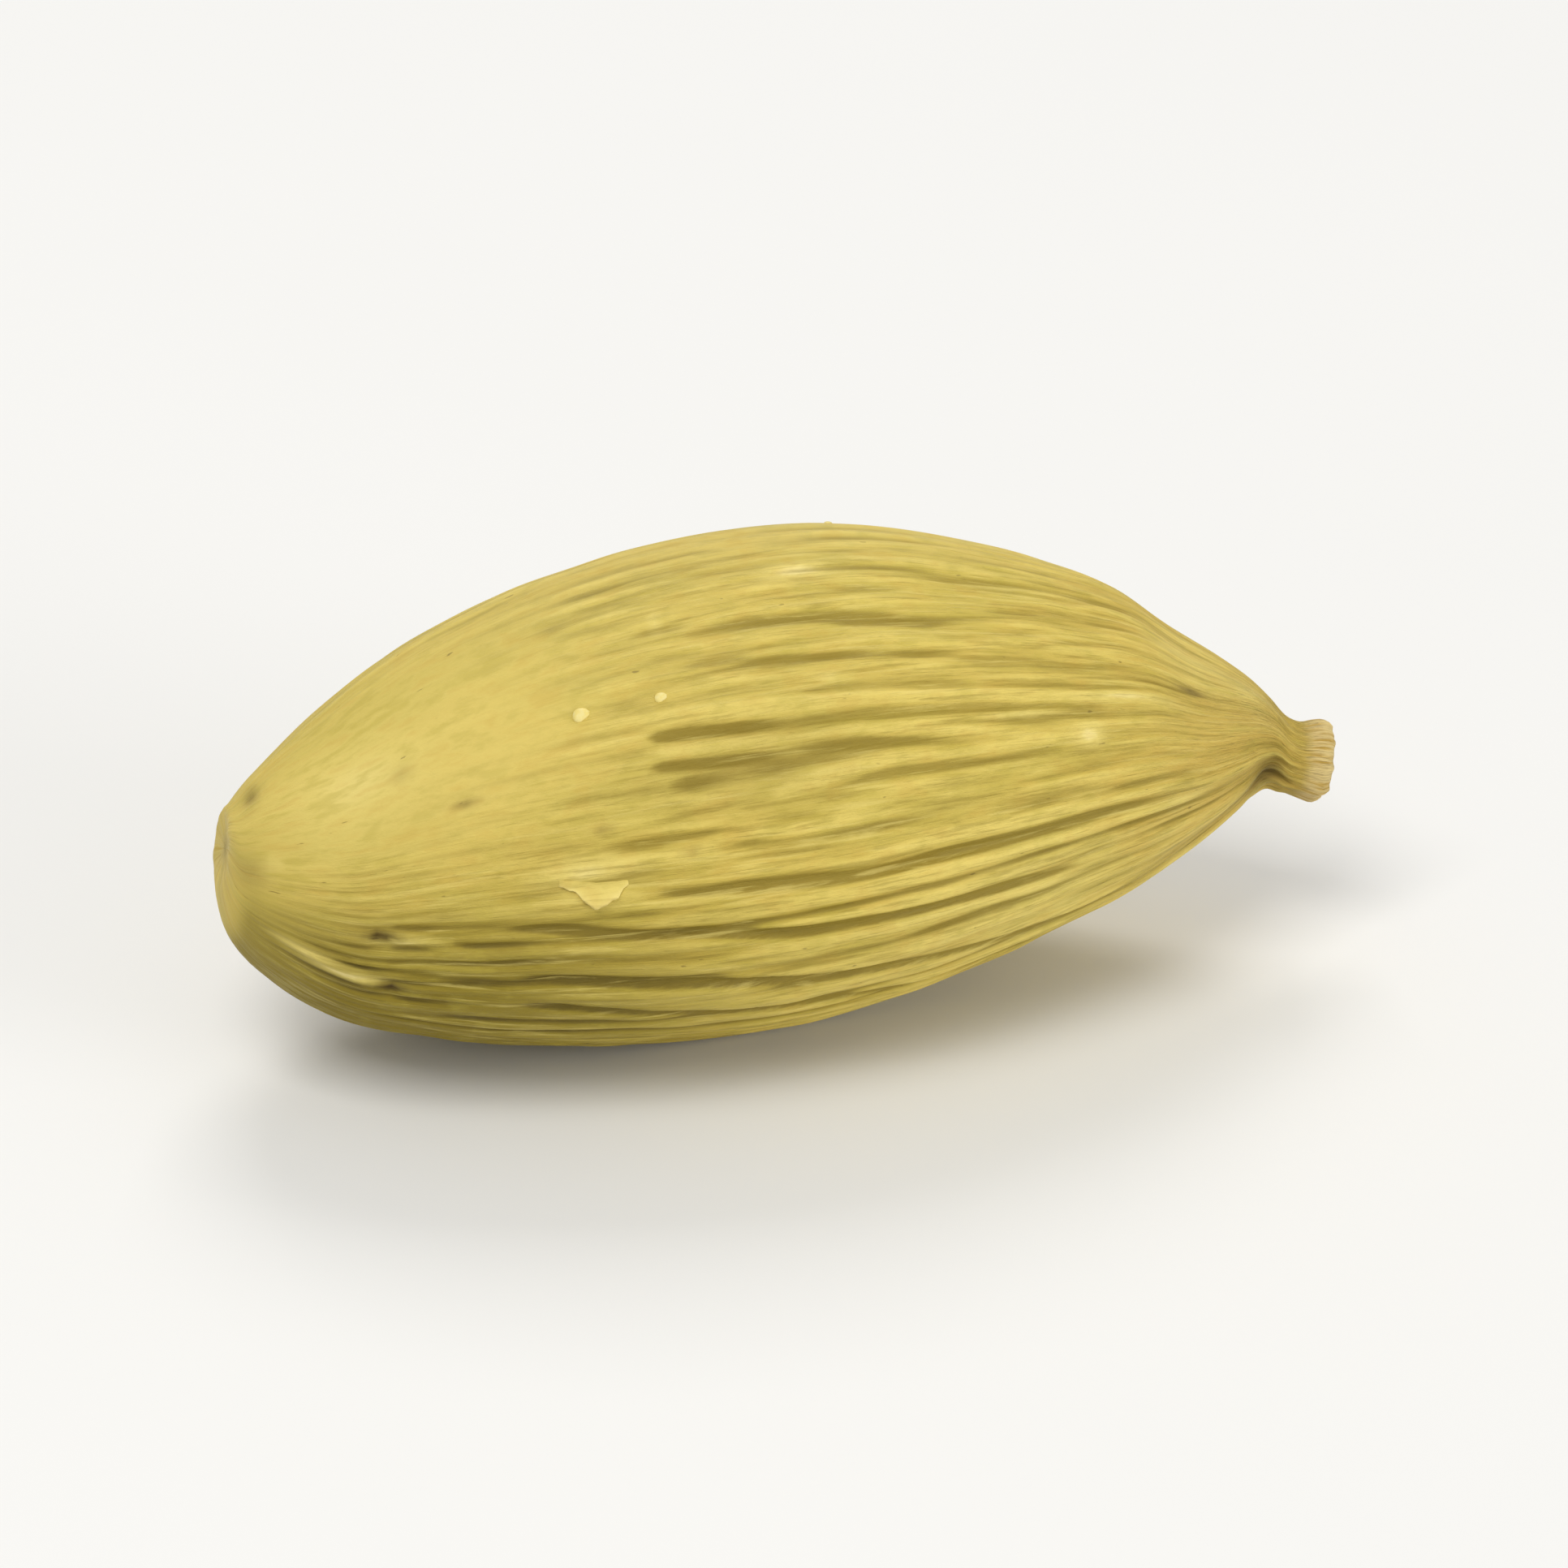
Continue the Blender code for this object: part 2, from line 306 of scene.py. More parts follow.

# How pale the smooth husk is, how corky the scar is beside the collar, where the painted shade on the
# underside sets in round the pod, and where it and the ribbed look set in or fade along it
SMOOTH_PALENESS = 0.6
SCAR_CORKINESS = 0.25
UNSHADED_SIDE = math.radians(112)
UNSHADED_REACH = math.radians(86)
UNDER_SHADE_SPREAD = math.radians(40)
UNDER_SHADE_PAST_SCAR = (0.004, 0.018)
UNDER_SHADE_FADES = (0.15, 0.55)
RIBBED_PAST_SCAR = (0.0, 0.10)

# Waxy grains stuck to the husk: share of the length, degrees round, radius. More are strewn at random over
# these shares and degrees. Each is a low dome: points round it, levels, and the rest in shares of its radius.
GRAINS = (
    (0.284, 57.8, 0.140 * MM),
    (0.352, 57.7, 0.100 * MM),
)
STREWN_GRAINS = 14
STREWN_ALONG = (0.08, 0.88)
STREWN_ROUND = (100.0, 330.0)
GRAIN_RADII = (0.04 * MM, 0.085 * MM)
GRAIN_SIDES = 14
GRAIN_LEVELS = 5
GRAIN_HEIGHT = 0.4
GRAIN_RIM_DEPTH = 0.15
GRAIN_BASE_DEPTH = 0.3
GRAIN_OVAL = 0.14
GRAIN_CORNERS = 0.08
GRAIN_TURNS = (0, 6)

# A thin tongue of torn husk on the soft edge: where its root begins and ends, how many degrees it hangs down
# by and at which side, and how much of that it hangs at its sides. Its torn edge has waves with a number,
# a start and a height.
FLAKE_ROOT = ((0.245, 16.3), (0.309, 14.2))
FLAKE_DROP = 7.4
FLAKE_TIP_SIDE = 0.56
FLAKE_SIDE_DROP = 0.14
FLAKE_TEARS = ((17.0, 0.6, 0.05), (41.0, 0.0, 0.03))
FLAKE_STEPS = (26, 12)

# How far the tongue's tip lifts and how it curls up, how deep its root lies, how soon it comes out of the
# husk down it and from its sides, its thickness and the share of that at its sides
FLAKE_LIFT = 0.06 * MM
FLAKE_CURL = 1.4
FLAKE_SINKS = 0.09 * MM
FLAKE_COMES_OUT = 2.5
FLAKE_SIDES_COME_OUT = 6.0
FLAKE_THICKNESS = 0.025 * MM
FLAKE_SIDE_THICKNESS = 0.2

# The tongue's values from its root to its tip
FLAKE_DEEP = (0.45, 0.25)
FLAKE_PALE = (0.5, 0.85)
FLAKE_RIBBED = 0.5

# Colours, as they look under white light
# Painted highlight on the crests, and also the colour of the pale streaks
CREST_HIGHLIGHT_AND_STREAK = (0.87, 0.78, 0.39)
HUSK = (0.78, 0.68, 0.29)
GREEN = (0.71, 0.64, 0.24)
# Painted shade in the grooves and creases, and also the colour of the dark fibres and threads
GROOVE_SHADE_AND_FIBRE = (0.54, 0.46, 0.12)
# Painted shade in the grooves on the shaded underside
UNDERSIDE_GROOVE_SHADE = (0.33, 0.27, 0.02)
OCHRE = (0.77, 0.62, 0.27)
PALE = (0.90, 0.82, 0.46)
# Whitest pale, laid on the strongest pale marks and painted highlights
BLOOM_AND_HIGHLIGHT = (0.95, 0.88, 0.58)
# Brown of the stains and specks, and of the painted shade in the pits and under the collar
STAIN_AND_SHADE = (0.32, 0.24, 0.05)
CORK = (0.91, 0.81, 0.55)
# Painted shade on the underside, most by the blunt end
UNDERSIDE_SHADE = (0.52, 0.45, 0.07)
WAX = (0.90, 0.84, 0.55)
FLOOR = (0.925, 0.925, 0.92)
FLOOR_SHADE = 0.992

# The values that the husk's material reads at each point, and its noises: stretch along and round the pod,
# scale, detail, roughness and distortion
READ_VALUES = ("deep", "pale", "stain_and_shade", "cork", "under", "ribbed")
HUSK_NOISES = {
    "fibres": ((0.45, 7.0, 7.0), 1.0, 6.0, 0.65, 0.3),
    "threads": ((1.1, 22.0, 22.0), 1.0, 4.0, 0.60, 0.2),
    "streaks": ((0.14, 1.7, 1.7), 1.0, 4.0, 0.60, 0.0),
    "clouds": ((0.35, 0.6, 0.6), 1.0, 3.0, 0.50, 0.0),
    "mottle": ((1.7, 2.6, 2.6), 1.0, 4.0, 0.55, 0.0),
    "specks": ((2.0, 5.0, 5.0), 1.3, 2.0, 0.50, 0.0),
}

# Where each layer of the husk's colour sets in: from and to which value, and its share before and after. The
# neck's are millimetres along the pod.
GREEN_CLOUDS = (0.38, 0.66, 0.0, 0.6)
OCHRE_NECK = (13.5, 18.8, 0.0, 0.55)
# Painted highlight where the crests stand out
CREST_HIGHLIGHTS = (0.50, 0.15, 0.0, 0.85)
PALE_STREAKS = (0.45, 0.72, 0.0, 0.35)
# How much of the painted underside shade is laid on
UNDERSIDE_SHADE_MOST = 0.9
# Laid on the strongest pale marks and painted highlights
BLOOMS_AND_HIGHLIGHTS = (0.70, 1.0, 0.0, 0.8)
OCHRE_MOTTLE = (0.50, 0.68)
OCHRE_ABOVE = (0.0, 0.6, 0.25, 0.0)
GREEN_MOTTLE = (0.52, 0.32, 0.0, 0.38)
# Painted shade in the grooves and creases
PAINTED_GROOVE_SHADE = (0.48, 0.95, 0.0, 0.85)
DARK_FIBRES = (0.50, 0.34, 0.0, 0.45)
PALE_FIBRES = (0.53, 0.68, 0.0, 0.45)
DARK_THREADS = (0.46, 0.32, 0.0, 0.35)
BROWN_SPECKS = (0.735, 0.78, 0.0, 0.5)
STAIN_AND_SHADE_MOTTLE = (0.25, 0.6, 0.6, 1.0)
CORK_MOTTLE = (0.45, 0.70)
CORKIEST = 0.85

# Finish: specular level, roughness, and bumps with their distance and strength
HUSK_SPECULAR = 0.32
HUSK_ROUGHNESS = (0.3, 0.7, 0.50, 0.66)
SMOOTH_HUSK_FIBRE_BUMP = 0.25
SMOOTH_HUSK_THREAD_BUMP = 0.4
FIBRE_BUMP = (0.07 * MM, 0.7)
THREAD_BUMP = (0.03 * MM, 0.6)
MOTTLE_BUMP = (0.06 * MM, 0.5)
WAX_SPECULAR = 0.4
WAX_ROUGHNESS = 0.45
WAX_CLOUDS = (0.35, 0.65)
WAX_CLOUD_SCALE = 9000.0
WAX_BUMP = (0.01 * MM, 0.4)
FLOOR_SPECULAR = 0.15
FLOOR_ROUGHNESS = 0.85
FLOOR_CLOUD_SCALE = 60.0
PLAIN_DETAIL = 3.0

# The camera: it looks from this side and height, with the pod across this share of the picture
AZIMUTH = math.radians(-14.8)
ELEVATION = math.radians(28)
LENS = 200.0
SENSOR = 36.0
POD_FILLS = 0.72
SEEN_LENGTH = 19.5 * MM
CLIPS = (0.01, 10.0)

# Lights: place, side, power in watts and colour. All point at the pod.
LIGHTS = {
    "key": ((-0.10, -0.10, 0.24), 0.15, 0.39, (1.0, 0.985, 0.955)),
    "fill": ((0.22, -0.20, 0.06), 0.16, 0.44, (0.99, 0.99, 1.0)),
    "back": ((0.04, 0.18, 0.20), 0.12, 0.24, (1.0, 0.98, 0.96)),
}
WORLD_STRENGTH = 0.50
FLOOR_REACH = 1.5
FLOOR_DROP = 0.02 * MM


def ease(share):
    """A share from 0 to 1, made to start and end softly."""
    return share * share * (3.0 - 2.0 * share)


def smooth_step(low, high, value):
    """0 up to low, 1 from high, and a soft rise between."""
    return ease(np.clip((value - low) / (high - low), 0.0, 1.0))


def angle_between(first, second):
    """The angle from second to first, between minus half a turn and half a turn."""
    return (first - second + math.pi) % (2.0 * math.pi) - math.pi


def bump(distance, spread):
    """1 at no distance, and soft down to 0 past the spread."""
    return np.exp(-((distance / spread) ** 2))


def wave_sum(angle, along, draw, waves):
    """Random waves round the pod and along it, added up to about -1 to 1."""
    terms, fewest_lobes, most_lobes, most_runs = waves
    total = np.zeros(np.broadcast(angle, along).shape)
    for _ in range(terms):
        lobes = draw.integers(fewest_lobes, most_lobes + 1)
        runs = draw.uniform(-most_runs, most_runs)
        start = draw.uniform(0.0, 2.0 * math.pi)
        total += np.sin(lobes * angle + 2.0 * math.pi * runs * along + start)
    return total / math.sqrt(2.0 * terms)


def unevenness(angle, along, draw, waves):
    """A smooth random height of about -1 to 1 that closes on itself round the pod."""
    terms, most_lobes, most_runs = waves
    return wave_sum(angle, along, draw, (terms, 1, most_lobes, most_runs))


def lattice(angle, along, cells, draw):
    """Smooth random heights of about -1 to 1, from a lattice that closes on itself round the pod."""
    around, runs = cells
    values = draw.uniform(-1.0, 1.0, (runs + 2, around))
    across = angle / (2.0 * math.pi) * around
    down = np.clip(along, 0.0, 1.0) * runs + 0.0 * angle
    column, row = np.floor(across).astype(int), np.floor(down).astype(int)
    side, part = ease(across - column), ease(down - row)
    left, right = column % around, (column + 1) % around
    upper = values[row, left] * (1.0 - side) + values[row, right] * side
    lower = values[row + 1, left] * (1.0 - side) + values[row + 1, right] * side
    return (upper * (1.0 - part) + lower * part) * LATTICE_GAIN


def knot_gaps(knots):
    """How far apart the outline's knots are."""
    return np.linalg.norm(np.diff(knots[:, :2] * (LENGTH, THICKNESS), axis=0), axis=1)


def curve_through(knots, steps):
    """Points of a smooth curve through the knots. Steps count knots: 2.5 is half-way from knot 2 to 3."""
    apart = knot_gaps(knots)
    reach = np.concatenate([[0.0], np.cumsum(apart)])
    slopes = np.gradient(knots, reach, axis=0)
    first = np.minimum(steps.astype(int), len(knots) - 2)
    share = (steps - first)[:, None]
    gap = apart[first][:, None]
    leave = share * (1.0 - share) ** 2
    arrive = share * share * (share - 1.0)
    start, end = knots[first], knots[first + 1]
    return start + ease(share) * (end - start) + gap * (leave * slopes[first] + arrive * slopes[first + 1])


def outline_rings():
    """Rows of place, half thickness, rise and lean, one a ring, and where each ring lies in the knots."""
    knots = np.array(SCAR + BODY + COLLAR)
    steps = []
    for gap, length in enumerate(knot_gaps(knots)):
        at_end = gap < len(SCAR) + 1 or gap >= len(SCAR) + len(BODY) - 2
        parts = max(1, round(length / (END_SPACING if at_end else RING_SPACING)))
        steps += [gap + part / parts for part in range(parts)]
    steps = np.array(steps + [len(knots) - 1])
    return curve_through(knots, steps) * (LENGTH, THICKNESS, THICKNESS, 1.0), steps


def rib_columns(draw):
    """The angle of each column of points, and its place in its rib: 0 in the groove, a half on the crest."""
    widths = draw.uniform(*RIB_WIDTHS, RIB_COUNT)
    widths *= 2.0 * math.pi / widths.sum()
    edges = np.concatenate([[0.0], np.cumsum(widths)[:-1]])
    shares = np.arange(POINTS_PER_RIB) / POINTS_PER_RIB
    angles = edges[:, None] + widths[:, None] * shares
    return angles.ravel(), np.tile(shares, RIB_COUNT)


def groove_reach(along, draw):
    """How deep each groove is at each ring, from 0 to 1. A few are short, so that two ribs run into one."""
    begins = draw.uniform(*GROOVES_BEGIN, RIB_COUNT)
    ends = draw.uniform(*GROOVES_END, RIB_COUNT)
    short = draw.random(RIB_COUNT) < SHORT_GROOVES
    begins += short * draw.uniform(*SHORT_BY, RIB_COUNT)
    ends -= short * draw.uniform(*SHORT_BY, RIB_COUNT)
    depths = draw.uniform(*GROOVE_DEPTHS, RIB_COUNT)
    enter = smooth_step(begins, begins + GROOVE_RUN_OUT, along)
    leave = 1.0 - smooth_step(ends - GROOVE_RUN_OUT, ends, along)
    return depths * enter * leave


def outside_patches(patches, angle, along):
    """What the patches leave of the ribs, from 0 to 1."""
    left = 1.0
    for side, place, spread, reach, fade in patches:
        left = left * (1.0 - fade * bump(angle_between(angle, side), spread) * bump(along - place, reach))
    return left


def ribs_left(angle, along):
    """How strong the ribs are, from 0 to 1. They fade in the smooth patches and where the pod lies."""
    left = 1.0 - LYING_FADES_RIBS * bump(angle_between(angle, LYING_SIDE), LYING_SPREAD)
    return left * outside_patches(SMOOTH_PATCHES, angle, along)


def upper_side(angle):
    """1 on the upper side that the front shows, and 0 round the rest."""
    return bump(angle_between(angle, UPPER_SIDE), UPPER_SPREAD)


def rib_relief(angle, along, half, shares, draw, detail):
    """How far the surface stands in from the smooth capsule because of its ribs and grooves."""
    reach = groove_reach(along, draw)
    after = np.repeat(reach, POINTS_PER_RIB, axis=1)
    before = np.repeat(np.roll(reach, -1, axis=1), POINTS_PER_RIB, axis=1)
    depth = np.where(shares < 0.5, after, before)
    inwards = 0.5 + 0.5 * np.cos(2.0 * math.pi * shares)
    uneven = unevenness(angle, along, draw, RIB_WAVES)
    upper = upper_side(angle)
    fade = FADE_SHARE * (LOWER_FADE + (1.0 - LOWER_FADE) * upper)
    depth = depth * np.clip(1.0 + fade * lattice(angle, along, FADE_CELLS, detail), *FADE_LIMITS)
    depth = depth * (1.0 - upper * (1.0 - UPPER_GROOVES_LEFT))
    sharpness = LOWER_GROOVE_SHARPNESS + upper * (UPPER_GROOVE_SHARPNESS - LOWER_GROOVE_SHARPNESS)
    groove = GROOVE_DEPTH * depth * inwards**sharpness
    crease = CREASE_DEPTH * depth * (1.0 - upper) * inwards**CREASE_SHARPNESS
    strength = np.clip(half / RIBS_FADE_BELOW, 0.0, 1.0) * ribs_left(angle, along)
    strength *= 1.0 - NECK_CALM * upper * smooth_step(*NECK_CALMS_IN, along)
    strength *= outside_patches(CALM_PATCHES, angle, along)
    return strength * (groove + crease + RIB_UNEVENNESS * uneven)


def line_relief(lines, angle, along, half):
    """The depth of a set of creases that run from one place to another and thin out at both ends."""
    total = np.zeros(angle.shape)
    for (begin, from_degrees), (end, to_degrees), depth, width in lines:
        share = (along - begin) / (end - begin)
        degrees = from_degrees + np.clip(share, 0.0, 1.0) * (to_degrees - from_degrees)
        across = angle_between(angle, np.radians(degrees)) * half
        fade = smooth_step(*LINES_SET_IN, share) * (1.0 - smooth_step(*LINES_RUN_OUT, share))
        total += depth * MM * fade * bump(across, width * MM)
    return total


def spots(marks, angle, along, half):
    """The strength, from 0 to 1, of a set of soft oval marks."""
    total = np.zeros(angle.shape)
    for place, degrees, reach_along, reach_around, strength in marks:
        off_along = (along - place) * LENGTH / (reach_along * MM)
        off_around = angle_between(angle, math.radians(degrees)) * half / (reach_around * MM)
        total = np.maximum(total, strength * np.exp(-(off_along**2 + off_around**2)))
    return total


def pit_relief(angle, along, half):
    """The depth of the pits, and of the knobs below zero."""
    total = np.zeros(angle.shape)
    for place, degrees, radius, depth in PITS:
        total += depth * MM * spots([(place, degrees, radius, radius, 1.0)], angle, along, half)
    return total


def fan_relief(angle, along):
    """How far the fan of fine ribs by the blunt end stands out."""
    place, side = FAN_MIDDLE
    reach, spread = FAN_REACH
    strength = bump(along - place, reach) * bump(angle_between(angle, side), spread)
    return FAN_HEIGHT * strength * np.cos(FAN_RIBS * angle)


def neck_folds(angle, along, draw):
    """How far the surface stands in because of the folds at the neck. The ridges between them stand out."""
    widths = draw.uniform(*NECK_FOLD_WIDTHS, NECK_FOLDS)
    widths *= 2.0 * math.pi / widths.sum()
    edges = np.concatenate([[0.0], np.cumsum(widths)])
    depths = draw.uniform(*NECK_FOLD_DEPTHS, NECK_FOLDS)
    turned = angle % (2.0 * math.pi)
    fold = np.clip(np.searchsorted(edges, turned, side="right") - 1, 0, NECK_FOLDS - 1)
    share = (turned - edges[fold]) / widths[fold]
    depth = np.where(share < 0.5, depths[fold], np.roll(depths, -1)[fold])
    valley = depth * (0.5 + 0.5 * np.cos(2.0 * math.pi * share)) - depths.mean() / 2.0
    setting_in = smooth_step(*NECK_FOLDS_SET_IN, along) * (1.0 - smooth_step(*NECK_FOLDS_STOP, along))
    calm_above = 1.0 - upper_side(angle) * (1.0 - UPPER_FOLDS_LEFT)
    return NECK_FOLD_DEPTH * setting_in * valley * calm_above


def fibre_relief(angle, along, half, ribbed, detail):
    """How far the fibres, threads and crumples of the husk stand out."""
    strength = np.clip(half / FIBRES_FADE_BELOW, 0.0, 1.0) ** 2
    strength = strength * (SMOOTH_HUSK_FIBRES + (1.0 - SMOOTH_HUSK_FIBRES) * ribbed)
    fibres = FIBRE_HEIGHT * lattice(angle, along, FIBRE_CELLS, detail)
    threads = THREAD_HEIGHT * lattice(angle, along, THREAD_CELLS, detail)
    crumples = CRUMPLE_HEIGHT * lattice(angle, along, CRUMPLE_CELLS, detail)
    return strength * (fibres + threads + crumples)


def capsule_radius(angle, along, half, on_body, draw):
    """The radius of the smooth capsule: three soft corners, an oval, the pressed side and a few dents."""
    corners = CORNER_SWELL * np.cos(3.0 * (angle - CORNER))
    oval = OVAL_SWELL * np.cos(2.0 * (angle - TALL_SIDE))
    press = LYING_PRESS * bump(angle_between(angle, LYING_SIDE), LYING_SPREAD)
    radius = half * (1.0 + on_body * (corners + oval - press))
    return radius + on_body * DENT_DEPTH * unevenness(angle, along, draw, DENT_WAVES)


def end_shares(steps):
    """How much each ring belongs to the scar, to the collar and to the collar's corky skin, from 0 to 1."""
    past_body = steps[:, None] - len(SCAR) - len(BODY)
    at_scar = 1.0 - smooth_step(*SCAR_STOPS, steps[:, None])
    return at_scar, smooth_step(*COLLAR_SETS_IN, past_body), smooth_step(*SKIN_SETS_IN, past_body)


def rim_raggedness(angle, at_scar, at_collar, half, draw):
    """How far the torn rims of the scar and the collar stand out along the pod."""
    scar = SCAR_RAGS * wave_sum(angle, 0.0 * half, draw, SCAR_RAG_WAVES)
    collar = COLLAR_RAGS * wave_sum(angle, 0.0 * half, draw, COLLAR_RAG_WAVES)
    return smooth_step(*RAGS_SET_IN, half) * (at_scar * scar + at_collar * collar)


def placed(angle, radius, place, lean, middle):
    """The points of all rings. The middle of each is moved towards the tall side, and each ring leans."""
    towards_tall = middle + radius * np.cos(angle - TALL_SIDE)
    x = place + lean * towards_tall
    y = -radius * np.cos(angle) - middle * math.cos(TALL_SIDE)
    z = radius * np.sin(angle) + middle * math.sin(TALL_SIDE)
    return np.stack([x, y, z], axis=2)


def laid_down(points):
    """The points tipped to the pod's pitch, with the origin under the middle and the flat spot at z = 0."""
    x, y, z = np.moveaxis(points, 2, 0)
    tipped_x = x * math.cos(PITCH) - z * math.sin(PITCH)
    tipped_z = x * math.sin(PITCH) + z * math.cos(PITCH)
    tipped_x -= (tipped_x.min() + tipped_x.max()) / 2.0
    y = y - (y.min() + y.max()) / 2.0
    tipped_z = np.maximum(tipped_z - tipped_z.min() - FLAT_DEPTH, 0.0)
    return np.stack([tipped_x, y, tipped_z], axis=2)


def underside(angle, along):
    """The shade painted on the husk, from 0 to 1: more towards its underside, and most near the blunt end."""
    off = np.abs(angle_between(angle, UNSHADED_SIDE))
    below = smooth_step(UNSHADED_REACH, UNSHADED_REACH + UNDER_SHADE_SPREAD, off)
    return below * smooth_step(*UNDER_SHADE_PAST_SCAR, along) * (1.0 - smooth_step(*UNDER_SHADE_FADES, along))


def cavity(depth, angle):
    """How far each point lies in a groove, from 0 on a crest to 1, with a half where the surface is even."""
    local = sum(np.roll(depth, shift, axis=1) for shift in range(-CAVITY_REACH, CAVITY_REACH + 1))
    local /= 2 * CAVITY_REACH + 1
    upper = upper_side(angle)
    full = CAVITY_DEPTH * (1.0 - upper * (1.0 - UPPER_GROOVES_LEFT))
    softer = 1.0 - UPPER_SOFTNESS * upper
    return 0.5 + softer * np.clip((depth - local) / full, -0.5, 0.5)


def paleness(angle, along, half, green):
    """How pale the husk is, from 0 to 1: where it is smooth outside the painted shade, and in its pale marks
    and painted highlights.
    """
    bleached = SMOOTH_PALENESS * (1.0 - ribs_left(angle, along)) * (1.0 - green) ** 2
    return np.maximum(bleached, spots(PALE_MARKS_AND_HIGHLIGHTS, angle, along, half))


def grain_place(place, angle):
    """Where the material's noises are read: millimetres along the pod, and round an even tube."""
    wide = THICKNESS / 2.0
    return np.stack([place + 0.0 * angle, wide * np.cos(angle), wide * np.sin(angle)], axis=-1) / MM


def husk_surface():
    """The fine surface: its grid of points, where they lie on the pod, and the values at each of them."""
    draw = np.random.default_rng(SEED)
    detail = np.random.default_rng(DETAIL_SEED)
    rings, steps = outline_rings()
    place, half, rise, lean = (column[:, None] for column in rings.T)
    along = place / LENGTH
    base_angle, shares = rib_columns(draw)
    on_body = smooth_step(*BODY_SETS_IN, along) * (1.0 - smooth_step(*BODY_STOPS, along))
    angle = base_angle + on_body * RIB_WANDER * unevenness(base_angle, along, draw, WANDER_WAVES)
    ribbed = smooth_step(*RIBBED_FROM, ribs_left(angle, along))
    at_scar, at_collar, collar_skin = end_shares(steps)

    radius = capsule_radius(angle, along, half, on_body, draw)
    depth = rib_relief(angle, along, half, shares, draw, detail)
    lines = line_relief(CREASES, angle, along, half) - line_relief(RIDGES, angle, along, half)
    depth += on_body * lines + pit_relief(angle, along, half)
    depth += neck_folds(angle, along, draw) - fan_relief(angle, along)
    depth -= fibre_relief(angle, along, half, ribbed, detail)
    depth *= (1.0 - SCAR_CALM * at_scar) * (1.0 - COLLAR_CALM * at_collar)
    radius -= depth
    radius *= 1.0 + COLLAR_UNEVENNESS * at_collar * wave_sum(angle, along, detail, COLLAR_WAVES)
    place = place + rim_raggedness(angle, at_scar, at_collar, half, detail)
    radius[[0, -1]] = 0.0
    place[[0, -1]] = place[[0, -1]].mean(axis=1, keepdims=True)

    middle = rise - CORNER_SWELL * on_body * half * math.cos(3.0 * (TALL_SIDE - CORNER))
    # green is the painted shade on the underside, which the material reads as under
    green = underside(angle, along)
    values = {
        # deep paints shade into the grooves and creases, and where it is low a highlight on the crests
        "deep": np.clip(cavity(depth, angle) + LINE_SHARE * lines / LINE_DEPTH, 0.0, 1.0),
        "pale": paleness(angle, along, half, green),
        # Brown stains, and painted shade in the pits and the hollow under the collar
        "stain_and_shade": spots(STAINS_AND_SHADE, angle, along, half),
        "cork": np.maximum(SCAR_CORKINESS * at_scar, collar_skin) + 0.0 * angle,
        "under": green,
        "ribbed": ribbed * smooth_step(*RIBBED_PAST_SCAR, along),
        "grain": grain_place(place, angle),
    }
    points = laid_down(placed(angle, radius, place, lean, middle))
    return {"points": points, "along": along[:, 0], "angle": angle, "values": values}


def skin_faces(rings, columns):
    """Faces over a tube of rings, numbered ring by ring, with a single point before and after them."""
    near = np.arange(columns)
    beside = (near + 1) % columns
    last = 1 + rings * columns
    faces = [(0, 1 + second, 1 + first) for first, second in zip(near, beside)]
    for ring in range(rings - 1):
        start = 1 + ring * columns
        quads = start + np.stack([near, beside, columns + beside, columns + near], axis=1)
        faces += [tuple(quad) for quad in quads.tolist()]
    start = 1 + (rings - 1) * columns
    faces += [(last, start + first, start + second) for first, second in zip(near, beside)]
    return faces


def tube_values(grid):
    """Values of a grid of rings as one row, with the first and the last ring as single points."""
    return np.concatenate([grid[0, :1], grid[1:-1].reshape(-1, *grid.shape[2:]), grid[-1, :1]])


def new_piece(name, points, faces, material):
    """A smoothly shaded mesh object in the scene."""
    mesh = bpy.data.meshes.new(name)
    mesh.from_pydata(points.tolist(), [], faces)
    mesh.update()
    mesh.shade_smooth()
    mesh.materials.append(material)
    piece = bpy.data.objects.new(name, mesh)
    bpy.context.scene.collection.objects.link(piece)
    return piece


def set_attributes(piece, values):
    """Stores each set of values at the piece's points: the grain as vectors, the others as numbers."""
    for name, numbers in values.items():
        kind, key = ("FLOAT_VECTOR", "vector") if name == "grain" else ("FLOAT", "value")
        layer = piece.data.attributes.new(name, kind, "POINT")
        layer.data.foreach_set(key, numbers.astype(np.float32).ravel())


def make_husk(surface, skin):
    """The husk, which stands for the solid pod."""
    rings, columns = surface["points"].shape[:2]
    faces = skin_faces(rings - 2, columns)
    husk = new_piece("pod_husk", tube_values(surface["points"]), faces, skin)
    set_attributes(husk, {name: tube_values(grid) for name, grid in surface["values"].items()})
    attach(husk, "root")
    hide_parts("pod")


def outward_directions(points, body):
    """The direction straight out of the husk at each point. The body's rings tell which way is out."""
    across = np.roll(points, -1, axis=1) - np.roll(points, 1, axis=1)
    outwards = np.cross(np.gradient(points, axis=0), across)
    outwards /= np.maximum(np.linalg.norm(outwards, axis=2, keepdims=True), 1e-12)
    middle = points.mean(axis=(0, 1))
    return outwards * np.sign(((points - middle) * outwards)[body].sum())


